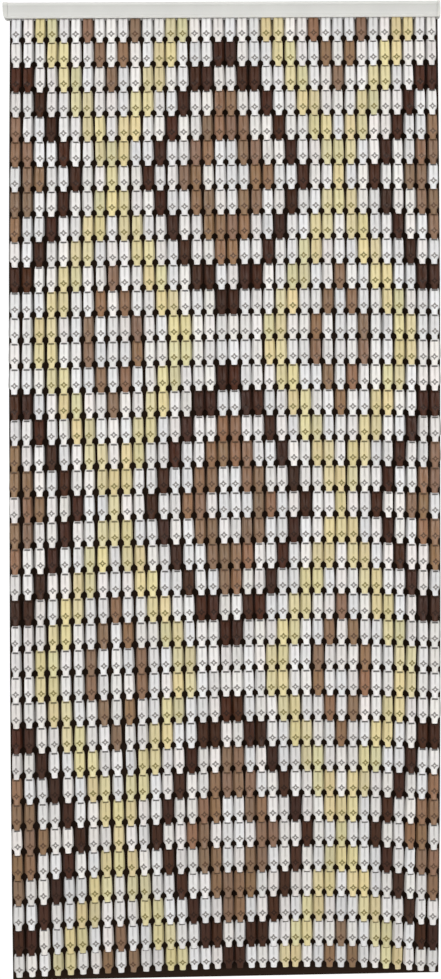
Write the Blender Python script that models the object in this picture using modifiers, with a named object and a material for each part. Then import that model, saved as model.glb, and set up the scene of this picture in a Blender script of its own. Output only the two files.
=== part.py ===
# Door curtain of moulded plastic links: 36 strands of 38 links hang side by side
# from a wall rail with a cap on each end.
#
# Frame: metres, +Z up. The curtain faces -Y and its width runs along X. The origin
# is the middle of the rail's flat back, where the rail lies against the wall.

import math

import bmesh
import bpy
import numpy as np

MM = 0.001
TOUCH = 0.3 * MM  # clearance between pieces that touch

# Rail, an open channel whose mouth faces down
RAIL_LENGTH = 900 * MM
RAIL_HEIGHT = 32 * MM
RAIL_DEPTH = 20 * MM
RAIL_WALL = 1.6 * MM
SLOT_FRONT = 15.0 * MM  # depth of the mouth's front edge, measured from the wall
SLOT_BACK = 4.6 * MM
CORNER = 1.2 * MM
TOP_BAND = 7 * MM  # height of the plain band along the rail's top
BEAD_RISE = 5.5 * MM  # the bead along the rail's lower edge: its height,
BEAD = 0.6 * MM  # how far it stands out,
BEAD_SLOPE = 1.5 * MM  # its sloping top, and its flat front
BEAD_FLAT = 2 * MM
UNDERCUT = 1.6 * MM  # how far the front draws in below the bead

# End caps
CAP_DEPTH = 21 * MM
LEFT_CAP = 10 * MM  # widths along X
RIGHT_CAP = 6 * MM
CAP_OVERHANG = 0.6 * MM
CAP_CORNER = 8 * MM  # round lower corner of the left cap
CAP_TAPER = 1.6 * MM  # how far its outer side draws in on the way down
UPPER_TAPER = 0.4  # the part of that drawn in by half height
CAP_TOP_CORNER = 2 * MM
CAP_EDGE = 0.7 * MM
ARC_STEPS = 5

# Strands
STRANDS = 36
LINKS = 38
STRAND_PITCH = 24.35 * MM
FIELD_SHIFT = 3 * MM  # the strands hang this far right of the rail's middle
FIRST_JOINT = 43.5 * MM  # from the rail's lower edge to the first joint of two links
CHAIN = 1913.5 * MM  # from the first joint to the last, on the shortest strands
STRAND_DEPTH = 8 * MM
STRAND_FRONT = 13.8 * MM  # depth of the strands' front, measured from the wall

# Each link is narrow at its neck and flares to its shoulder. Heights are from a joint.
NECK_WIDTH = 13.6 * MM
NECK_DROP = 4 * MM
SHOULDER_WIDTH = 22 * MM
SHOULDER_RISE = 8.5 * MM
TIP_WIDTH = 12.5 * MM
TIP_DROP = 9 * MM

# The loose hooks let the links sit a little high in the upper rows and low in the lower
# ones. The two waves run over one whole turn and one half turn of the strand.
PLAY_WAVE = 5.3 * MM
PLAY_ARCH = 2.6 * MM

# How the strands stray sideways as they hang, and how much lower their feet end.
# Place is counted in strand widths from the left edge of the field.
HANG = [
    {"place": 0, "half_way": -9.0, "foot": -8.0, "drop": 18.0},
    {"place": 6, "half_way": -4.0, "foot": 3.0, "drop": 11.0},
    {"place": 12, "half_way": 3.5, "foot": 11.5, "drop": 5.0},
    {"place": 18, "half_way": 5.5, "foot": 10.0, "drop": 0.5},
    {"place": 24, "half_way": 4.5, "foot": 2.0, "drop": -1.5},
    {"place": 30, "half_way": 4.0, "foot": -5.5, "drop": 1.0},
    {"place": 36, "half_way": 1.0, "foot": -9.0, "drop": 11.0},
]

# Hanger strips, two lengths end to end inside the rail, on its inward lips
STRIP_HEIGHT = 4 * MM
STRIP_FRONT = 16.6 * MM
STRIP_BACK = 3.0 * MM
ROOT_DEPTH = 1.4 * MM  # how far a strand's root reaches into its strip

RAIL_BOTTOM = -RAIL_HEIGHT / 2
LIP_TOP = RAIL_BOTTOM + RAIL_WALL
RAIL_LEFT = -RAIL_LENGTH / 2 + LEFT_CAP + TOUCH
RAIL_RIGHT = RAIL_LENGTH / 2 - RIGHT_CAP - TOUCH


def clear_scene():
    for obj in list(bpy.data.objects):
        bpy.data.objects.remove(obj, do_unlink=True)


def new_collection(name):
    collection = bpy.data.collections.new(name)
    bpy.context.scene.collection.children.link(collection)
    return collection


def plastic(name, colour, roughness):
    material = bpy.data.materials.new(name)
    material.use_nodes = True
    shader = material.node_tree.nodes["Principled BSDF"]
    shader.inputs["Base Color"].default_value = (*colour, 1.0)
    shader.inputs["Roughness"].default_value = roughness
    shader.inputs["Metallic"].default_value = 0.0
    material.diffuse_color = (*colour, 1.0)
    return material


def flat_outline(name, points, thickness, collection, material):
    """A closed outline in the object's XY plane, extruded evenly to both sides."""
    curve = bpy.data.curves.new(name, "CURVE")
    curve.dimensions = "2D"
    curve.fill_mode = "BOTH"
    curve.extrude = thickness / 2
    spline = curve.splines.new("POLY")
    spline.points.add(len(points) - 1)
    for point, (x, y) in zip(spline.points, points):
        point.co = (x, y, 0, 1)
    spline.use_cyclic_u = True
    curve.materials.append(material)
    obj = bpy.data.objects.new(name, curve)
    collection.objects.link(obj)
    return obj


def arc(centre, radius, start, end, steps):
    """Points on an arc, angles in degrees."""
    angles = np.radians(np.linspace(start, end, steps))
    return [(centre[0] + radius * math.cos(a), centre[1] + radius * math.sin(a)) for a in angles]


def rail_section():
    """The channel's outline as (distance along Y, height), once round from the mouth's back edge."""
    top = RAIL_HEIGHT / 2
    front = -RAIL_DEPTH
    band_foot = top - TOP_BAND
    bead_top = RAIL_BOTTOM + BEAD_RISE
    outer = [(-SLOT_BACK, RAIL_BOTTOM), (0, RAIL_BOTTOM), (0, top)]
    outer += [(front + CORNER, top), (front, top - CORNER)]
    outer += [(front, band_foot), (front + BEAD, band_foot - BEAD), (front, bead_top + BEAD_SLOPE)]
    outer += [(front - BEAD, bead_top), (front - BEAD, bead_top - BEAD_FLAT)]
    outer += [(front + UNDERCUT, RAIL_BOTTOM), (-SLOT_FRONT, RAIL_BOTTOM)]
    inside_front = front + RAIL_WALL + BEAD
    inner = [(-SLOT_FRONT, LIP_TOP), (inside_front, LIP_TOP), (inside_front, top - RAIL_WALL)]
    inner += [(-RAIL_WALL, top - RAIL_WALL), (-RAIL_WALL, LIP_TOP), (-SLOT_BACK, LIP_TOP)]
    return outer + inner


def add_rail(collection, material):
    length = RAIL_RIGHT - RAIL_LEFT
    rail = flat_outline("rail", rail_section(), length, collection, material)
    rail.rotation_euler = (math.pi / 2, 0, math.pi / 2)
    rail.location.x = (RAIL_RIGHT + RAIL_LEFT) / 2
    return rail


def left_cap_outline():
    """Seen from the front: the outer side draws in downwards to a round lower corner."""
    half = RAIL_HEIGHT / 2 + CAP_OVERHANG
    inner = -RAIL_LENGTH / 2 + LEFT_CAP
    outer = -RAIL_LENGTH / 2
    centre = (outer + CAP_TAPER + CAP_CORNER, CAP_CORNER - half)
    points = [(inner, -half), (inner, half)]
    points += [(outer + CAP_TOP_CORNER, half), (outer, half - CAP_TOP_CORNER)]
    points += [(outer + CAP_TAPER * UPPER_TAPER, 0)]
    points += arc(centre, CAP_CORNER, 180, 270, ARC_STEPS)
    return points


def right_cap_outline():
    half = RAIL_HEIGHT / 2 + CAP_OVERHANG
    inner = RAIL_LENGTH / 2 - RIGHT_CAP
    outer = RAIL_LENGTH / 2
    return [(inner, -half), (outer, -half), (outer, half), (inner, half)]


def add_cap(name, outline, collection, material):
    cap = flat_outline(name, outline, CAP_DEPTH, collection, material)
    cap.rotation_euler = (math.pi / 2, 0, 0)
    cap.location.y = -CAP_DEPTH / 2
    weld = cap.modifiers.new("weld", "WELD")
    weld.merge_threshold = 0.00001
    bevel = cap.modifiers.new("edges", "BEVEL")
    bevel.width = CAP_EDGE
    bevel.segments = 1
    bevel.limit_method = "ANGLE"
    bevel.angle_limit = math.radians(50)
    return cap


def hang_value(column, place):
    places = [row["place"] for row in HANG]
    return MM * np.interp(place, places, [row[column] for row in HANG])


def strand_shift(strand, fall):
    """Sideways stray at a part of the way down: a parabola through rail, half way and foot."""
    place = strand + 0.5
    half_way = hang_value("half_way", place)
    foot = hang_value("foot", place)
    return fall * (4 * half_way - foot) + fall**2 * (2 * foot - 4 * half_way)


def joint_height(strand, joint):
    """Height of the joint between two links. Joint 1 is under the first link."""
    part = (joint - 1) / (LINKS - 1)
    chain = CHAIN + hang_value("drop", strand + 0.5)
    play = PLAY_WAVE * math.sin(2 * math.pi * part) + PLAY_ARCH * math.sin(math.pi * part)
    return RAIL_BOTTOM - FIRST_JOINT - chain * part + play


def strand_stations(strand):
    """Heights and widths down one strand, from its root in the strip to its tip."""
    root = LIP_TOP + TOUCH + ROOT_DEPTH
    stations = [(root, NECK_WIDTH)]
    for joint in range(1, LINKS + 1):
        height = joint_height(strand, joint)
        stations.append((height + SHOULDER_RISE, SHOULDER_WIDTH))
        stations.append((height - NECK_DROP, NECK_WIDTH))
    stations[-1] = (joint_height(strand, LINKS) - TIP_DROP, TIP_WIDTH)
    return stations


def loft_strand(mesh, strand):
    """Three-sided strand: flat in front, with a ridge behind that is deeper where the link is wider."""
    middle = (strand + 0.5 - STRANDS / 2) * STRAND_PITCH + FIELD_SHIFT
    rings = []
    for height, width in strand_stations(strand):
        fall = max((RAIL_BOTTOM - height) / CHAIN, 0)
        x = middle + strand_shift(strand, fall)
        depth = STRAND_DEPTH * width / SHOULDER_WIDTH
        corners = [(x - width / 2, -STRAND_FRONT), (x + width / 2, -STRAND_FRONT), (x, depth - STRAND_FRONT)]
        rings.append([mesh.verts.new((cx, cy, height)) for cx, cy in corners])
    for upper, lower in zip(rings, rings[1:]):
        for i in range(3):
            j = (i + 1) % 3
            mesh.faces.new((upper[i], lower[i], lower[j], upper[j]))
    mesh.faces.new(rings[0])
    mesh.faces.new(rings[-1][::-1])


def add_strands(name, first, last, left, right, collection, helpers, material):
    """One hanger strip with its strands grown into it."""
    mesh = bmesh.new()
    for strand in range(first, last):
        loft_strand(mesh, strand)
    bmesh.ops.recalc_face_normals(mesh, faces=mesh.faces)
    data = bpy.data.meshes.new(name + "_lofts")
    mesh.to_mesh(data)
    mesh.free()
    lofts = bpy.data.objects.new(name + "_lofts", data)
    lofts.hide_render = True
    lofts.display_type = "WIRE"
    helpers.objects.link(lofts)

    bottom = LIP_TOP + TOUCH
    size = (right - left, STRIP_FRONT - STRIP_BACK, STRIP_HEIGHT)
    bpy.ops.mesh.primitive_cube_add(size=1)
    strip = bpy.context.active_object
    strip.name = name
    strip.data.name = name
    for vertex in strip.data.vertices:
        vertex.co = [c * s for c, s in zip(vertex.co, size)]
    strip.location = ((left + right) / 2, -(STRIP_FRONT + STRIP_BACK) / 2, bottom + STRIP_HEIGHT / 2)
    for owner in list(strip.users_collection):
        owner.objects.unlink(strip)
    collection.objects.link(strip)
    strip.data.materials.append(material)
    grow = strip.modifiers.new("grow_strands", "BOOLEAN")
    grow.operation = "UNION"
    grow.solver = "EXACT"
    grow.object = lofts
    return strip


def main():
    clear_scene()
    collection = new_collection("link_curtain")
    helpers = new_collection("lofts")
    helpers.hide_render = True

    rail_plastic = plastic("rail_plastic", (0.70, 0.69, 0.66), 0.45)
    link_plastic = plastic("link_plastic", (0.82, 0.81, 0.80), 0.3)

    add_rail(collection, rail_plastic)
    add_cap("end_cap_left", left_cap_outline(), collection, rail_plastic)
    add_cap("end_cap_right", right_cap_outline(), collection, rail_plastic)

    half = STRANDS // 2
    left_end = FIELD_SHIFT - TOUCH / 2  # where the two hanger strips meet
    right_end = FIELD_SHIFT + TOUCH / 2
    add_strands("strands_left", 0, half, RAIL_LEFT, left_end, collection, helpers, link_plastic)
    add_strands("strands_right", half, STRANDS, right_end, RAIL_RIGHT, collection, helpers, link_plastic)


main()
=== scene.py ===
import math

import bpy
import numpy as np
from mathutils import Matrix, Vector


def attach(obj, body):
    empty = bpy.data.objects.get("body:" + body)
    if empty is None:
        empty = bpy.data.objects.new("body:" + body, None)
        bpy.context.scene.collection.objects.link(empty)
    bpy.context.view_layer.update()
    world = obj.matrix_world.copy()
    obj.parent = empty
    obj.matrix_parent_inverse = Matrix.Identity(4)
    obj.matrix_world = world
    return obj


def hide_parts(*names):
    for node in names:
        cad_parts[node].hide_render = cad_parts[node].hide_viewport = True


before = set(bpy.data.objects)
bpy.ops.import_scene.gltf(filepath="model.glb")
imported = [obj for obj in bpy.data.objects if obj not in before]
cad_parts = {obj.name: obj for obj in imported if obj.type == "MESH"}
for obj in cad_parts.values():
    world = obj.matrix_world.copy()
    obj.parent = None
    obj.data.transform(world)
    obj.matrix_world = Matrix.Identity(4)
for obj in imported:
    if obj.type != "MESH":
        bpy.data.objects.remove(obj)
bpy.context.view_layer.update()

# Door curtain of moulded plastic links on a wall rail: 36 strands of 38 links.
# The rail and its caps are the CAD solids. The links are made here, one piece for each strand.

mm = 0.001
scene = bpy.context.scene


# sRGB hex to linear red, green and blue, with alpha 1
def linear(hexColour):
    channels = np.array([int(hexColour[i:i + 2], 16) for i in (1, 3, 5)]) / 255
    bright = ((channels + 0.055) / 1.055) ** 2.4
    return (*np.where(channels <= 0.04045, channels / 12.92, bright).tolist(), 1.0)


# adds one node: settings are its properties, inputs are values or sockets to link from
def addNode(tree, kind, settings=None, inputs=None):
    node = tree.nodes.new(kind)
    for name, value in (settings or {}).items():
        setattr(node, name, value)
    for socket, value in (inputs or {}).items():
        if isinstance(value, bpy.types.NodeSocket):
            tree.links.new(value, node.inputs[socket])
        else:
            node.inputs[socket].default_value = value
    return node


def newMaterial(name):
    material = bpy.data.materials.new(name)
    material.use_nodes = True
    tree = material.node_tree
    return material, tree, tree.nodes["Principled BSDF"]


# ---- view: the photograph's angle, level with the curtain's middle and 3.5 m in front of it

viewSettings = {
    "distance": 3.5,  # from the links' front
    "frontDepth": 13.8 * mm,
    "centreX": -6.0 * mm,
    "centreZ": -987 * mm,
    "tallSide": 2.01625,  # what the picture's height takes in at that distance
    "sensor": 36.0,
    "roll": 0.0045,  # radians; the rail's right end stands a little higher in the picture
}


def placeCamera(v):
    data = bpy.data.cameras.new("curtainView")
    data.sensor_width = v["sensor"]
    data.lens = v["sensor"] * v["distance"] / v["tallSide"]
    camera = bpy.data.objects.new("curtainView", data)
    scene.collection.objects.link(camera)
    right = Vector((math.cos(v["roll"]), 0, -math.sin(v["roll"])))
    up = Vector((math.sin(v["roll"]), 0, math.cos(v["roll"])))
    turn = Matrix((right, up, Vector((0, -1, 0)))).transposed().to_4x4()
    place = Vector((v["centreX"], -v["frontDepth"] - v["distance"], v["centreZ"]))
    camera.matrix_world = Matrix.Translation(place) @ turn
    scene.camera = camera
    return place


cameraPlace = placeCamera(viewSettings)
print("view placed")


# ---- the strands' places: the CAD strands' rules with tables fitted more closely to the photograph

hangSettings = {
    "strands": 36,
    "links": 38,
    "pitch": 24.35 * mm,
    "fieldShift": 3 * mm,
    "railFoot": -16 * mm,
    "firstJoint": 41.3 * mm,  # below the rail's foot
    "rise": 0.0023,  # a row's joints climb by this slope towards the right
    "chain": 1915.7 * mm,  # from the first joint to the last
    "playWave": 5.3 * mm,
    "playArch": 2.6 * mm,
    # sideways stray at the rail, half way down and at the foot, and how much lower the foot ends, in mm
    "place": (0, 6, 12, 18, 24, 30, 36),
    "top": (0.7, 1.3, 2.2, 2.4, 4.6, 5.1, 3.2),
    "halfWay": (-8.2, 0.1, 7.9, 10.2, 7.9, 8.6, 7.3),
    "foot": (-3.5, 8.4, 18.0, 17.5, 7.3, 1.3, -3.1),
    "drop": (18.0, 11.0, 5.0, 0.5, -1.5, 1.0, 11.0),
}


def hangValue(column, strand):
    return mm * np.interp(strand + 0.5, hangSettings["place"], hangSettings[column])


# Sideways place of a strand's middle at a height: its even place in the row, plus a parabola in the
# part fallen so far that passes through the strays at the rail, half way and at the foot
def strandMiddle(strand, height):
    h = hangSettings
    fall = np.maximum((h["railFoot"] - height) / h["chain"], 0)
    top, halfWay, foot = [hangValue(column, strand) for column in ("top", "halfWay", "foot")]
    straight = (strand + 0.5 - h["strands"] / 2) * h["pitch"] + h["fieldShift"]
    return (straight + top + fall * (4 * halfWay - foot - 3 * top)
            + fall ** 2 * (2 * foot + 2 * top - 4 * halfWay))


# Height of the joint below link number `joint`; number 0 lies inside the rail. Even steps down the
# chain, plus one whole sine wave and half a sine wave for the play in the hooks, plus the row's climb
def jointHeight(strand, joint):
    h = hangSettings
    part = (joint - 1) / (h["links"] - 1)
    play = h["playWave"] * np.sin(2 * np.pi * part) + h["playArch"] * np.sin(np.pi * part)
    play = play + h["rise"] * (strand + 0.5 - h["strands"] / 2) * h["pitch"]
    return h["railFoot"] - h["firstJoint"] - (h["chain"] + hangValue("drop", strand)) * part + play


# ---- moulded links

# One link's rings, from its top edge down, in mm. drop: below the joint above. rear, front: half
# widths of the rear edge and of the flat front. middle: half width of the groove in the front.
# face: how far the front lies behind the foremost plane, and sink how much deeper the groove lies.
# back: depth of the rear edge. hollow: how far the rear is hollowed out.
linkRings = {
    "drop":   (4.4, 7.6, 11.0, 27.0, 38.5, 44.0, 49.0, 58.2),
    "rear":   (8.6, 9.8, 10.7, 11.5, 11.7, 11.3, 6.6, 6.0),
    "front":  (6.8, 7.8, 8.2, 8.2, 8.2, 6.7, 5.5, 5.2),
    "middle": (5.4, 5.8, 1.8, 1.8, 1.8, 4.0, 3.1, 2.9),
    "face":   (3.4, 1.3, 0.9, 0.9, 0.9, 2.0, 3.2, 2.0),
    "sink":   (0.0, 2.2, 2.0, 1.7, 0.0, 0.0, -2.4, -2.0),
    "back":   (8.0, 8.0, 8.0, 8.0, 8.0, 8.0, 4.8, 2.6),
    "hollow": (0.0, 0.0, 4.2, 4.2, 4.4, 4.4, 0.4, 0.1),
}
linkSettings = {
    "frontDepth": viewSettings["frontDepth"],  # foremost plane of the links, from the wall
    "axis": 3.6,  # a link turns about a line this far behind its front, in mm
    "flank": 8.4,  # length of a flank's section, for the unrolled map
    "hollowHalf": 6.9,
    "hollowMost": 0.8,  # of the rear edge's half width
    "flatGroove": 2.5,  # a groove of at least this half width has a flat floor, mm
    "rearMap": (7, 21, 28),  # the rear's corners on the unrolled map, mm past the flank
    "sharpAngle": 28.0,  # degrees; edges bent further than this are not smoothed
    "mapUnit": 100,  # mm to one unit of the unrolled map
    "seed": 5,
    "turn": 10.5,  # usual turn of a link about its strand, degrees
    "mostTurn": 19.0,
    "turnKept": 0.65,  # how much of its turn a link takes from the one above
    "firstTurn": 0.3,  # the first link is held by the rail's mouth
    "stray": 0.42,  # usual sideways stray of a joint, mm
    "mostStray": 0.9,
    "strayKept": 0.35,
    "belly": (11.7, 8.0),  # half width and depth of the rear edge where a link is widest, mm
    "clear": 0.35,  # gap that pushApart aims at between neighbouring links, mm
    "pushes": 16,
    "lastShort": 0.875,  # the foot links are seen shorter by this
}


# Random walk down each strand that is drawn back to nothing: each step keeps a part of the last
def wander(rng, strands, steps, size, kept, most):
    fresh = rng.normal(0, size * math.sqrt(1 - kept ** 2), (steps, strands))
    walk = [rng.normal(0, size, strands)]
    for step in range(1, steps):
        walk.append(kept * walk[-1] + fresh[step])
    return np.clip(np.array(walk), -most, most)


# Links that would touch push each other aside: the joint under each moves by half of what lacks
def pushApart(turns, strays):
    s, h = linkSettings, hangSettings
    half, ahead = s["belly"][0], s["belly"][1] - s["axis"]
    turn = np.radians(turns)
    toRight = half * np.cos(turn) - ahead * np.sin(turn)
    toLeft = half * np.cos(turn) + ahead * np.sin(turn)
    joints = jointHeight(0, np.arange(1, h["links"] + 1))
    middles = np.stack([strandMiddle(strand, joints) for strand in range(h["strands"])], 1) / mm
    strays = strays.copy()
    for push in range(s["pushes"]):
        places = middles + strays[1:]
        room = np.diff(places, axis=1) - toRight[:, :-1] - toLeft[:, 1:]
        lack = np.maximum(s["clear"] - room, 0) / 2
        strays[1:, :-1] -= lack
        strays[1:, 1:] += lack
    return strays


# The lozenge lattice. Bands are distances from a large lozenge's middle, across and down added up
lattice = {
    "middle": 17.5,  # lies between the two middle strands
    "width": 18,  # strands from one large lozenge to the next
    "height": 13,  # links from one large lozenge to the next
    "tan": (2, 3),
    "dark": (6, 5),  # the second from the row where the lozenge closes
    "closing": 4,
    "yellow": (9, 10),
    "smallTan": 2.5,  # the same distance from a small lozenge's middle
}


# Sorts a link by its distance from the lozenges' middles: 0 white, 1 yellow, 2 tan, 3 dark brown
def linkColour(row, column):
    p = lattice
    across = abs(column - p["middle"]) - 0.5
    down = abs((row - 1) % p["height"] - p["height"] // 2)
    large = min(across, p["width"] - across) + down
    small = abs(across - p["width"] / 2) + p["height"] / 2 - down
    wide, narrow = p["dark"]
    if large in p["tan"] or small == p["smallTan"]:
        return 2
    if (large == wide and down <= p["closing"]) or (large == narrow and down >= p["closing"]):
        return 3
    return 1 if large in p["yellow"] else 0


# A strand is one closed form repeated link by link: point (ring, corner) of a link is the ring's
# section corner, turned about the link's upright axis and set on the strand's curved middle line
def strandArrays(strand, turns, strays):
    s, h = linkSettings, hangSettings
    ring = {name: np.array(values) for name, values in linkRings.items()}
    front, rear, middle = ring["front"], ring["rear"], ring["middle"]
    hollow = np.minimum(s["hollowHalf"], rear * s["hollowMost"])
    across = np.stack([-rear, -front, -middle, 0 * front, middle, front, rear, hollow, -hollow], 1)
    face, sunk = ring["face"], ring["face"] + ring["sink"]
    floor = ring["back"] - ring["hollow"]
    flat = (middle > s["flatGroove"]) & (ring["sink"] != 0)
    groove = np.where(flat, sunk, face)
    depth = np.stack([ring["back"], face, groove, sunk, groove, face, ring["back"], floor, floor], 1)
    rings, corners = across.shape
    turn = np.radians(turns)[:, None, None]
    ahead = depth - s["axis"]
    x = across * np.cos(turn) - ahead * np.sin(turn)
    y = across * np.sin(turn) + ahead * np.cos(turn) + s["axis"]
    joints = jointHeight(strand, np.arange(h["links"] + 1))
    halfPitch = h["chain"] / (h["links"] - 1) / 2
    middles = (joints[:-1] + joints[1:]) / 2
    drop = np.tile(ring["drop"], (h["links"], 1))
    drop[-1] *= s["lastShort"]
    z = middles[:, None] + halfPitch - drop * mm
    down = drop * mm / (2 * halfPitch)
    stray = strays[:-1, None] * (1 - down) + strays[1:, None] * down
    centre = strandMiddle(strand, z) + stray * mm
    points = np.stack([
        x * mm + centre[:, :, None],
        y * mm - s["frontDepth"],
        np.broadcast_to(z[:, :, None], x.shape),
    ], -1)

    # unrolled map: across is the real distance from the front's middle line, down is the drop
    side = front + s["flank"]
    unrolled = np.column_stack([across[:, :6], side] + [side + past for past in s["rearMap"]])
    unrolled[:, 0] = -side
    base = (np.arange(h["links"]) * rings * corners)[:, None, None]
    r, c = np.meshgrid(np.arange(rings - 1), np.arange(corners), indexing="ij")
    n = (c + 1) % corners
    quads = np.stack([r * corners + c, (r + 1) * corners + c, (r + 1) * corners + n, r * corners + n], -1)
    quads = base + quads.reshape(-1, 4)[None]
    corner = np.stack([unrolled[r, c], unrolled[r + 1, c], unrolled[r + 1, c + 1], unrolled[r, c + 1]], -1)
    level = np.stack([ring["drop"][r], ring["drop"][r + 1], ring["drop"][r + 1], ring["drop"][r]], -1)
    quadMap = np.stack([corner, level], -1).reshape(-1, 2)
    ends = np.stack([np.arange(corners), np.arange(corners)[::-1] + (rings - 1) * corners])
    ends = base + ends[None]
    endMap = np.stack([
        np.concatenate([unrolled[0, :corners], unrolled[-1, :corners][::-1]]),
        np.repeat(ring["drop"][[0, -1]], corners),
    ], -1)
    return points.reshape(-1, 3), quads, ends, quadMap, endMap


def addStrand(strand, turns, strays, tones, materials):
    h, s = hangSettings, linkSettings
    points, quads, ends, quadMap, endMap = strandArrays(strand, turns, strays)
    mesh = bpy.data.meshes.new(f"link_strand_{strand + 1:02d}")
    faces, maps = [], []
    for link in range(h["links"]):
        faces += quads[link].tolist() + ends[link].tolist()
    mesh.from_pydata(points.tolist(), [], faces)
    layer = mesh.uv_layers.new(name="linkMap")
    one = np.concatenate([quadMap, endMap]) / s["mapUnit"] + (0.5, 0)
    layer.uv.foreach_set("vector", np.tile(one, (h["links"], 1)).astype(np.float32).ravel())
    perLink = len(quads[0]) + len(ends[0])
    colours = [linkColour(row, strand) for row in range(1, h["links"] + 1)]
    mesh.polygons.foreach_set("material_index", np.repeat(colours, perLink).astype(np.int32))
    tone = mesh.attributes.new("linkTone", "FLOAT", "FACE")
    tone.data.foreach_set("value", np.repeat(tones, perLink).astype(np.float32))
    # painted shade on the flanks of the outer strands, fading out towards the foot
    o = ornament
    outer = np.interp(abs(strand + 0.5 - h["strands"] / 2), (o["outerFrom"], o["outerTo"]), (0.0, 1.0))
    outer = outer * np.interp(np.arange(h["links"]), o["outerFoot"], (1.0, 0.0))
    edge = mesh.attributes.new("outerFlankShade", "FLOAT", "FACE")
    edge.data.foreach_set("value", np.repeat(outer, perLink).astype(np.float32))
    for material in materials:
        mesh.materials.append(material)
    mesh.shade_smooth()
    mesh.set_sharp_from_angle(angle=math.radians(s["sharpAngle"]))
    mesh.validate()
    piece = bpy.data.objects.new(mesh.name, mesh)
    scene.collection.objects.link(piece)
    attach(piece, "root")
    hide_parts("strands_left" if strand < h["strands"] // 2 else "strands_right")
    return piece


# ---- materials

# Polystyrene, injection moulded in polished tools: an even, opaque colour with a hard gloss that
# is broken by slight ripples. Dent is painted shade in the dents of the moulded ornament, and slot a painted
# shadow under each hook's end. Cool and warm are the two ends of a colour's batches, and tone is how far its
# brightness varies
linkPlastics = {
    "pearlWhite": {"cool": "#e4e4e5", "warm": "#e9e4df", "dent": "#85817e", "slot": "#6a6866",
                   "hueSpread": 0.03, "tone": (0.865, 1.075)},
    "paleYellow": {"cool": "#d6cfa6", "warm": "#e0cf9b", "dent": "#857b48", "slot": "#787050",
                   "hueSpread": 0.01, "tone": (0.87, 1.07)},
    "lightTan": {"cool": "#886d58", "warm": "#926d4d", "dent": "#5c402a", "slot": "#5c4533",
                 "hueSpread": 0.009, "tone": (0.9, 1.05)},
    "darkBrown": {"cool": "#422b21", "warm": "#472818", "dent": "#2d1a10", "slot": "#301f16",
                  "hueSpread": 0.006, "tone": (0.82, 1.16), "sheen": 0.15},
}
# The moulding's unevenness: faint clouds of about 11 mm, and ripples of about 4 mm in the gloss
linkGrain = {
    "clouds": 90.0,  # to a metre
    "cloudTone": (0.975, 1.02),
    "ripples": 260.0,
    "rough": (0.34, 0.46),
    "bump": 0.25,
    "bumpDepth": 0.4 * mm,
    "ior": 1.57,
    "sheen": 0.35,
}
ornament = {
    "drop": 40.6,  # its middle, mm below the joint above
    "dotAcross": 5.2,
    "dotDown": 4.8,
    "dot": 1.8,  # radius of a dent
    "soft": 0.7,
    "field": (0.95, 1.45),  # the painted shade of the lozenge round the dots fades out here, 1 being at the dots
    "boss": (0.3, 0.6),  # and the raised middle here
    "slotTop": 6.4,  # painted shadow under the hook above, where it goes into the link
    "slotFoot": 9.8,
    "slotHalf": 6.3,
    "grooveFoot": 30.0,  # where the groove in the front runs out
    "grooveFade": 5.0,
    "grooveHalf": 1.8,
    "grooveShadeTone": 0.76,  # what the painted shade in the groove leaves of the colour
    "flankFrom": 8.0,
    "flankTo": 14.0,
    "flankShadeTone": 0.64,
    "outerShadeTone": 0.38,  # the painted flank shade in the outer strands, set only to match the photograph
    "outerFrom": 9.5,  # strands from the middle strand on
    "outerTo": 14.5,
    "outerFoot": (24, 32),  # rows over which the difference fades out
    "neckTop": 46.0,
    "neckFade": 4.0,
    "neckHighlightTone": 1.06,
}


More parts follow.
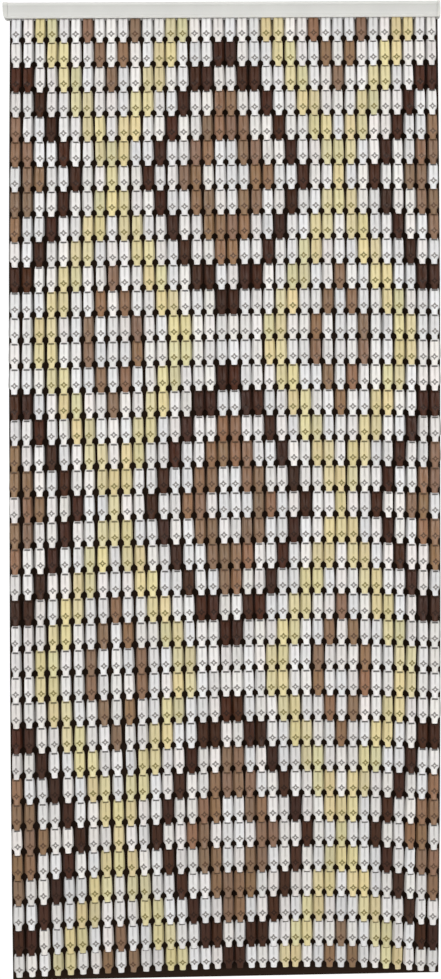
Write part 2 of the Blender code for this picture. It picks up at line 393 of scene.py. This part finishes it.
def linkPlastic(name, c):
    o, s, g = ornament, linkSettings, linkGrain
    material, tree, shader = newMaterial(f"{name}PolystyreneMoulded")
    place = addNode(tree, "ShaderNodeUVMap", {"uv_map": "linkMap"})
    inMm = addNode(tree, "ShaderNodeVectorMath", {"operation": "MULTIPLY_ADD"}, {
        0: place.outputs[0], 1: (s["mapUnit"],) * 3, 2: (-s["mapUnit"] / 2, -o["drop"], 0)})
    quarter = addNode(tree, "ShaderNodeVectorMath", {"operation": "ABSOLUTE"}, {0: inMm.outputs[0]})
    toSide = addNode(tree, "ShaderNodeVectorMath", {"operation": "DISTANCE"}, {
        0: quarter.outputs[0], 1: (o["dotAcross"], 0, 0)})
    toTop = addNode(tree, "ShaderNodeVectorMath", {"operation": "DISTANCE"}, {
        0: quarter.outputs[0], 1: (0, o["dotDown"], 0)})
    nearest = addNode(tree, "ShaderNodeMath", {"operation": "MINIMUM"}, {
        0: toSide.outputs["Value"], 1: toTop.outputs["Value"]})
    dots = addNode(tree, "ShaderNodeMapRange", {"interpolation_type": "SMOOTHSTEP"}, {
        "Value": nearest.outputs[0], "From Min": o["dot"] - o["soft"], "From Max": o["dot"] + o["soft"],
        "To Min": 1.0, "To Max": 0.0})
    # the lozenge field round the dots is shaded and bumped as if a little deeper than the front
    weighed = addNode(tree, "ShaderNodeVectorMath", {"operation": "DOT_PRODUCT"}, {
        0: quarter.outputs[0], 1: (1 / o["dotAcross"], 1 / o["dotDown"], 0)})
    field = addNode(tree, "ShaderNodeMapRange", {"interpolation_type": "SMOOTHSTEP"}, {
        "Value": weighed.outputs["Value"], "From Min": o["field"][0], "From Max": o["field"][1],
        "To Min": 1.0, "To Max": 0.0})
    boss = addNode(tree, "ShaderNodeMapRange", {"interpolation_type": "SMOOTHSTEP"}, {
        "Value": weighed.outputs["Value"], "From Min": o["boss"][0], "From Max": o["boss"][1],
        "To Min": 0.0, "To Max": 1.0})
    ring = addNode(tree, "ShaderNodeMath", {"operation": "MULTIPLY"}, {
        0: field.outputs[0], 1: boss.outputs[0]})
    # painted shadow of the slit: a soft dark bar across the front just under the hook's end
    slotMiddle = (o["slotTop"] + o["slotFoot"]) / 2 - o["drop"]
    fromSlot = addNode(tree, "ShaderNodeVectorMath", {"operation": "MULTIPLY_ADD"}, {
        0: inMm.outputs[0],
        1: (1 / o["slotHalf"], 2 / (o["slotFoot"] - o["slotTop"]), 0),
        2: (0, -2 * slotMiddle / (o["slotFoot"] - o["slotTop"]), 0)})
    slotSides = addNode(tree, "ShaderNodeVectorMath", {"operation": "ABSOLUTE"}, {0: fromSlot.outputs[0]})
    slotParts = addNode(tree, "ShaderNodeSeparateXYZ", None, {0: slotSides.outputs[0]})
    slotFar = addNode(tree, "ShaderNodeMath", {"operation": "MAXIMUM"}, {
        0: slotParts.outputs[0], 1: slotParts.outputs[1]})
    slot = addNode(tree, "ShaderNodeMapRange", {"interpolation_type": "SMOOTHSTEP"}, {
        "Value": slotFar.outputs[0], "From Min": 0.75, "From Max": 1.2, "To Min": 1.0, "To Max": 0.0})

    # painted shade in the groove down the front
    parts = addNode(tree, "ShaderNodeSeparateXYZ", None, {0: inMm.outputs[0]})
    fromMiddle = addNode(tree, "ShaderNodeMath", {"operation": "ABSOLUTE"}, {0: parts.outputs[0]})
    grooveSides = addNode(tree, "ShaderNodeMapRange", {"interpolation_type": "SMOOTHSTEP"}, {
        "Value": fromMiddle.outputs[0], "From Min": o["grooveHalf"] * 0.6, "From Max": o["grooveHalf"] * 1.4,
        "To Min": 1.0, "To Max": 0.0})
    grooveEnd = addNode(tree, "ShaderNodeMapRange", {"interpolation_type": "SMOOTHSTEP"}, {
        "Value": parts.outputs[1], "From Min": o["grooveFoot"] - o["drop"] - o["grooveFade"],
        "From Max": o["grooveFoot"] - o["drop"] + o["grooveFade"], "To Min": 1.0, "To Max": 0.0})
    groove = addNode(tree, "ShaderNodeMath", {"operation": "MULTIPLY"}, {
        0: grooveSides.outputs[0], 1: grooveEnd.outputs[0]})
    grooveShade = addNode(tree, "ShaderNodeMapRange", None, {
        "Value": groove.outputs[0], "To Min": 1.0, "To Max": o["grooveShadeTone"]})
    # painted highlight: the narrow end that hooks on is a little lighter
    neckHighlight = addNode(tree, "ShaderNodeMapRange", {"interpolation_type": "SMOOTHSTEP"}, {
        "Value": parts.outputs[1], "From Min": o["neckTop"] - o["drop"],
        "From Max": o["neckTop"] - o["drop"] + o["neckFade"], "To Min": 1.0, "To Max": o["neckHighlightTone"]})
    # painted shade: the flanks darken towards the rear edge, more in the outer strands
    outer = addNode(tree, "ShaderNodeAttribute", {"attribute_name": "outerFlankShade"})
    flankShadeTone = addNode(tree, "ShaderNodeMapRange", None, {
        "Value": outer.outputs["Fac"], "To Min": o["flankShadeTone"], "To Max": o["outerShadeTone"]})
    flankShade = addNode(tree, "ShaderNodeMapRange", {"interpolation_type": "SMOOTHSTEP"}, {
        "Value": fromMiddle.outputs[0], "From Min": o["flankFrom"], "From Max": o["flankTo"],
        "To Min": 1.0, "To Max": flankShadeTone.outputs[0]})
    frontShaped = addNode(tree, "ShaderNodeMath", {"operation": "MULTIPLY"}, {
        0: grooveShade.outputs[0], 1: neckHighlight.outputs[0]})
    shaped = addNode(tree, "ShaderNodeMath", {"operation": "MULTIPLY"}, {
        0: frontShaped.outputs[0], 1: flankShade.outputs[0]})

    # each link came from its own shot: its shade and hue differ a little from its neighbours'
    tone = addNode(tree, "ShaderNodeAttribute", {"attribute_name": "linkTone"})
    value = addNode(tree, "ShaderNodeMapRange", None, {
        "Value": tone.outputs["Fac"], "To Min": c["tone"][0], "To Max": c["tone"][1]})
    where = addNode(tree, "ShaderNodeTexCoord")
    clouds = addNode(tree, "ShaderNodeTexNoise", None, {
        "Vector": where.outputs["Object"], "Scale": g["clouds"], "Detail": 2.0})
    flow = addNode(tree, "ShaderNodeMapRange", None, {
        "Value": clouds.outputs["Fac"], "From Min": 0.3, "From Max": 0.7,
        "To Min": g["cloudTone"][0], "To Max": g["cloudTone"][1]})
    unevenness = addNode(tree, "ShaderNodeMath", {"operation": "MULTIPLY"}, {
        0: value.outputs[0], 1: flow.outputs[0]})
    shade = addNode(tree, "ShaderNodeMath", {"operation": "MULTIPLY"}, {
        0: unevenness.outputs[0], 1: shaped.outputs[0]})
    lean = addNode(tree, "ShaderNodeTexWhiteNoise", {"noise_dimensions": "1D"}, {"W": tone.outputs["Fac"]})
    draws = addNode(tree, "ShaderNodeSeparateColor", None, {0: lean.outputs["Color"]})
    hue = addNode(tree, "ShaderNodeMapRange", None, {
        "Value": draws.outputs[0], "To Min": 0.5 - c["hueSpread"], "To Max": 0.5 + c["hueSpread"]})
    batch = addNode(tree, "ShaderNodeMix", {"data_type": "RGBA"}, {
        0: draws.outputs[1], 6: linear(c["cool"]), 7: linear(c["warm"])})
    toned = addNode(tree, "ShaderNodeHueSaturation", None, {
        "Hue": hue.outputs[0], "Value": shade.outputs[0], "Color": batch.outputs[2]})
    dentMask = addNode(tree, "ShaderNodeMath", {"operation": "MAXIMUM"}, {
        0: dots.outputs[0], 1: ring.outputs[0]})
    # painted shade: the dents and the lozenge round them take the darker dent colour
    dentShaded = addNode(tree, "ShaderNodeMix", {"data_type": "RGBA"}, {
        0: dentMask.outputs[0], 6: toned.outputs[0], 7: linear(c["dent"])})
    # painted shadow: the bar under the hook's end takes the dark slot colour
    slotShadowed = addNode(tree, "ShaderNodeMix", {"data_type": "RGBA"}, {
        0: slot.outputs[0], 6: dentShaded.outputs[2], 7: linear(c["slot"])})
    tree.links.new(slotShadowed.outputs[2], shader.inputs["Base Color"])

    ripple = addNode(tree, "ShaderNodeTexNoise", None, {
        "Vector": where.outputs["Object"], "Scale": g["ripples"], "Detail": 1.0})
    rough = addNode(tree, "ShaderNodeMapRange", None, {
        "Value": ripple.outputs["Fac"], "From Min": 0.3, "From Max": 0.7,
        "To Min": g["rough"][0], "To Max": g["rough"][1]})
    tree.links.new(rough.outputs[0], shader.inputs["Roughness"])
    depth = addNode(tree, "ShaderNodeMath", {"operation": "MULTIPLY_ADD"}, {
        0: dentMask.outputs[0], 1: -1.0, 2: ripple.outputs["Fac"]})
    bump = addNode(tree, "ShaderNodeBump", None, {
        "Height": depth.outputs[0], "Strength": g["bump"], "Distance": g["bumpDepth"]})
    tree.links.new(bump.outputs[0], shader.inputs["Normal"])
    shader.inputs["IOR"].default_value = g["ior"]
    shader.inputs["Specular IOR Level"].default_value = c.get("sheen", g["sheen"])
    return material


linkMaterials = [linkPlastic(name, c) for name, c in linkPlastics.items()]
print("link plastics mixed:", len(linkMaterials))

rng = np.random.default_rng(linkSettings["seed"])
strandCount, linkCount = hangSettings["strands"], hangSettings["links"]
turns = wander(rng, strandCount, linkCount, linkSettings["turn"], linkSettings["turnKept"],
               linkSettings["mostTurn"])
turns[0] *= linkSettings["firstTurn"]
strays = wander(rng, strandCount, linkCount + 1, linkSettings["stray"], linkSettings["strayKept"],
                linkSettings["mostStray"])
tones = rng.random((linkCount, strandCount))
strays = pushApart(turns, strays)
for strand in range(strandCount):
    addStrand(strand, turns[:, strand], strays[:, strand], tones[:, strand], linkMaterials)
print("strands hung:", strandCount)


# ---- hanger strips inside the rail

stripSettings = {
    "left": -439.7 * mm,
    "right": 443.7 * mm,
    "parting": 3 * mm,
    "halfGap": 0.15 * mm,  # half the gap between the two strips
    "foot": -14.1 * mm,
    "height": 4 * mm,
    "front": -16.6 * mm,
    "back": -3.0 * mm,
    "edge": 0.6 * mm,
}


# a bar whose section is a box with its edges cut off, carried along X
def addStrip(name, node, left, right, material):
    s = stripSettings
    low, high, front, back, e = s["foot"], s["foot"] + s["height"], s["front"], s["back"], s["edge"]
    section = np.array([
        (front, low + e), (front, high - e), (front + e, high), (back - e, high),
        (back, high - e), (back, low + e), (back - e, low), (front + e, low)])
    ends = np.array([left, right])
    points = np.concatenate([np.column_stack([np.full(8, x), section]) for x in ends])
    faces = [list(range(8)), list(range(15, 7, -1))]
    faces += [[i, i + 8, (i + 1) % 8 + 8, (i + 1) % 8] for i in range(8)]
    mesh = bpy.data.meshes.new(name)
    mesh.from_pydata(points.tolist(), [], faces)
    mesh.materials.append(material)
    piece = bpy.data.objects.new(name, mesh)
    scene.collection.objects.link(piece)
    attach(piece, "root")
    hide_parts(node)
    return piece


parting, halfGap = stripSettings["parting"], stripSettings["halfGap"]
addStrip("hanger_strip_left", "strands_left", stripSettings["left"], parting - halfGap, linkMaterials[0])
addStrip("hanger_strip_right", "strands_right", parting + halfGap, stripSettings["right"], linkMaterials[0])
print("hanger strips placed")


# ---- rail and caps: rigid PVC, extruded for the rail and moulded for the caps. A satin grey-white
# with faint drawn lines along the rail and a fine even grain on the caps

railGrain = {
    "soft": 14.0,  # to a metre: shades of about 70 mm along the rail
    "tone": (0.965, 1.02),
    "bump": 0.25,
    "bumpDepth": 0.15 * mm,
    "ior": 1.54,
}
# stretch: grain to a metre along the rail, across it and up
railPlastics = {
    "railPvcExtruded": {"colour": "#d0d0cc", "stretch": (1.5, 900.0, 900.0), "rough": (0.34, 0.46)},
    "capPvcMoulded": {"colour": "#cfcfca", "stretch": (700.0, 700.0, 700.0), "rough": (0.38, 0.5)},
}
# painted light and shade on the rail by height: a painted highlight on the bead at the top, painted shade in
# a line under it, a painted highlight on the lower edge
railShade = {
    "foot": -16 * mm,
    "height": 32 * mm,
    "most": 1.2,
    "at": (0.0, 0.1, 0.22, 0.4, 0.66, 0.77, 0.84, 0.91, 1.0),
    "tone": (1.0, 1.06, 1.05, 0.98, 0.97, 0.92, 1.0, 1.1, 1.2),
}


def railPlastic(name, c):
    g, r = railGrain, railShade
    material, tree, shader = newMaterial(name)
    where = addNode(tree, "ShaderNodeTexCoord")
    drawn = addNode(tree, "ShaderNodeMapping", None, {
        "Vector": where.outputs["Object"], "Scale": c["stretch"]})
    lines = addNode(tree, "ShaderNodeTexNoise", None, {
        "Vector": drawn.outputs[0], "Scale": 1.0, "Detail": 3.0})
    soft = addNode(tree, "ShaderNodeTexNoise", None, {
        "Vector": where.outputs["Object"], "Scale": g["soft"], "Detail": 2.0})
    both = addNode(tree, "ShaderNodeMath", {"operation": "MULTIPLY_ADD"}, {
        0: lines.outputs["Fac"], 1: 0.5, 2: soft.outputs["Fac"]})
    shade = addNode(tree, "ShaderNodeMapRange", None, {
        "Value": both.outputs[0], "From Min": 0.5, "From Max": 1.0,
        "To Min": g["tone"][0], "To Max": g["tone"][1]})
    parts = addNode(tree, "ShaderNodeSeparateXYZ", None, {0: where.outputs["Object"]})
    level = addNode(tree, "ShaderNodeMapRange", None, {
        "Value": parts.outputs[2], "From Min": r["foot"], "From Max": r["foot"] + r["height"]})
    # painted light and shade in bands by height
    bands = addNode(tree, "ShaderNodeValToRGB", None, {0: level.outputs[0]})
    elements = bands.color_ramp.elements
    for place in r["at"][1:-1]:
        elements.new(place)
    for element, tone in zip(elements, r["tone"]):
        element.color = (*(tone / r["most"],) * 3, 1)
    shadedBands = addNode(tree, "ShaderNodeMath", {"operation": "MULTIPLY"}, {
        0: bands.outputs[0], 1: shade.outputs[0]})
    full = addNode(tree, "ShaderNodeMath", {"operation": "MULTIPLY"}, {
        0: shadedBands.outputs[0], 1: r["most"]})
    toned = addNode(tree, "ShaderNodeHueSaturation", None, {
        "Value": full.outputs[0], "Color": linear(c["colour"])})
    tree.links.new(toned.outputs[0], shader.inputs["Base Color"])
    rough = addNode(tree, "ShaderNodeMapRange", None, {
        "Value": lines.outputs["Fac"], "From Min": 0.3, "From Max": 0.7,
        "To Min": c["rough"][0], "To Max": c["rough"][1]})
    tree.links.new(rough.outputs[0], shader.inputs["Roughness"])
    bump = addNode(tree, "ShaderNodeBump", None, {
        "Height": lines.outputs["Fac"], "Strength": g["bump"], "Distance": g["bumpDepth"]})
    tree.links.new(bump.outputs[0], shader.inputs["Normal"])
    shader.inputs["IOR"].default_value = g["ior"]
    return material


railMaterial, capMaterial = [railPlastic(name, c) for name, c in railPlastics.items()]
finishes = {"rail": railMaterial, "end_cap_left": capMaterial, "end_cap_right": capMaterial}
for node, material in finishes.items():
    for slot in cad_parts[node].material_slots:
        slot.material = material
print("rail and caps finished")


# ---- studio: a pale floor just under the strands' feet, a dark board close behind them, soft light

studio = {
    "floorHeight": -2.06,
    "floorRear": 0.1,
    "floorFront": -9.0,
    "floorHalf": 8.0,
    "boardDepth": 4 * mm,  # behind the rail's back
    "boardFoot": (-1.996, -1.983),  # left and right, as seen against the strands
    "boardMargin": (10.0 * mm, 12.8 * mm),  # past the outer strands' middle, half way and at the ends
    "boardMiddle": -1.0,
    "boardSteps": 40,
    "lightAim": (0, 0, -0.9),
}


def addStage(name, points, colour, roughness):
    mesh = bpy.data.meshes.new(name)
    mesh.from_pydata([tuple(p) for p in points], [], [list(range(len(points)))])
    material, tree, shader = newMaterial(name + "Paint")
    shader.inputs["Base Color"].default_value = linear(colour)
    shader.inputs["Roughness"].default_value = roughness
    shader.inputs["Specular IOR Level"].default_value = 0.1
    mesh.materials.append(material)
    stage = bpy.data.objects.new(name, mesh)
    scene.collection.objects.link(stage)
    return stage, tree, shader


# The board's outline is where lines from the view past the outer strands meet its plane
def boardOutline(s):
    frontDepth = viewSettings["frontDepth"]
    reach = (s["boardDepth"] - cameraPlace.y) / (-frontDepth - cameraPlace.y)
    sides = []
    outermost = ((0, -1, s["boardFoot"][0]), (hangSettings["strands"] - 1, 1, s["boardFoot"][1]))
    for strand, sign, foot in outermost:
        heights = np.linspace(foot, 0.0, s["boardSteps"])
        ends = np.abs(heights - s["boardMiddle"])
        margin = s["boardMargin"][0] + (s["boardMargin"][1] - s["boardMargin"][0]) * ends
        x = strandMiddle(strand, heights) + sign * margin
        sides.append(np.stack([
            cameraPlace.x + (x - cameraPlace.x) * reach,
            np.full_like(x, s["boardDepth"]),
            cameraPlace.z + (heights - cameraPlace.z) * reach], -1))
    left, right = sides
    return np.concatenate([right, left[::-1]])


addStage("studioFloor", [
    (-studio["floorHalf"], studio["floorFront"], studio["floorHeight"]),
    (studio["floorHalf"], studio["floorFront"], studio["floorHeight"]),
    (studio["floorHalf"], studio["floorRear"], studio["floorHeight"]),
    (-studio["floorHalf"], studio["floorRear"], studio["floorHeight"])], "#f4f3f1", 0.7)
board, boardTree, boardShader = addStage("darkBoard", boardOutline(studio), "#2a1e16", 0.9)
# the board is there for views from in front only: light and reflections pass it by, and from behind
# it is clear
board.visible_diffuse = board.visible_glossy = board.visible_transmission = board.visible_shadow = False
boardSide = addNode(boardTree, "ShaderNodeNewGeometry")
clear = addNode(boardTree, "ShaderNodeBsdfTransparent")
oneSided = addNode(boardTree, "ShaderNodeMixShader", None, {
    0: boardSide.outputs["Backfacing"], 1: boardShader.outputs[0], 2: clear.outputs[0]})
boardTree.links.new(oneSided.outputs[0], boardTree.nodes["Material Output"].inputs["Surface"])

lights = {
    "leftSoftbox": {"place": (-2.6, -4.4, -0.4), "size": (1.2, 3.0), "power": 80.5},
    "rightSoftbox": {"place": (2.6, -4.4, -0.4), "size": (1.2, 3.0), "power": 80.5},
    "topSoftbox": {"place": (0.0, -3.6, 2.4), "size": (3.0, 1.0), "power": 38.5},
}
for name, light in lights.items():
    lamp = bpy.data.lights.new(name, "AREA")
    lamp.shape = "RECTANGLE"
    lamp.size, lamp.size_y = light["size"]
    lamp.energy = light["power"]
    holder = bpy.data.objects.new(name, lamp)
    scene.collection.objects.link(holder)
    holder.location = light["place"]
    aim = Vector(studio["lightAim"]) - holder.location
    holder.rotation_euler = aim.to_track_quat("-Z", "Y").to_euler()

# The room is white where the camera sees it. As light it is dimmer: darkest from straight in front,
# where the photographer stands, and brightest from behind. Its mirror image in the links is dimmed
roomLight = {
    "front": (-0.97, -0.75),  # the direction's y over which it rises
    "frontPower": (0.05, 0.32),
    "behind": (0.1, 0.6),
    "behindPower": 0.6,
    "mirrored": 0.08,
    "seen": 1.05,
}
room = bpy.data.worlds.new("paleRoom")
room.use_nodes = True
scene.world = room
roomTree = room.node_tree
background = roomTree.nodes["Background"]
seen = addNode(roomTree, "ShaderNodeLightPath")
direction = addNode(roomTree, "ShaderNodeTexCoord")
axes = addNode(roomTree, "ShaderNodeSeparateXYZ", None, {0: direction.outputs["Generated"]})
lit = addNode(roomTree, "ShaderNodeMapRange", None, {
    "Value": axes.outputs[1], "From Min": roomLight["front"][0], "From Max": roomLight["front"][1],
    "To Min": roomLight["frontPower"][0], "To Max": roomLight["frontPower"][1]})
behind = addNode(roomTree, "ShaderNodeMapRange", None, {
    "Value": axes.outputs[1], "From Min": roomLight["behind"][0], "From Max": roomLight["behind"][1],
    "To Min": 0.0, "To Max": roomLight["behindPower"]})
around = addNode(roomTree, "ShaderNodeMath", {"operation": "ADD"}, {0: lit.outputs[0], 1: behind.outputs[0]})
mirrored = addNode(roomTree, "ShaderNodeMix", {"data_type": "FLOAT"}, {
    0: seen.outputs["Is Glossy Ray"], 2: around.outputs[0], 3: roomLight["mirrored"]})
power = addNode(roomTree, "ShaderNodeMix", {"data_type": "FLOAT"}, {
    0: seen.outputs["Is Camera Ray"], 2: mirrored.outputs[0], 3: roomLight["seen"]})
roomTree.links.new(power.outputs[0], background.inputs["Strength"])
background.inputs["Color"].default_value = (1, 1, 1, 1)
scene.view_settings.view_transform = "Standard"
print("studio set")
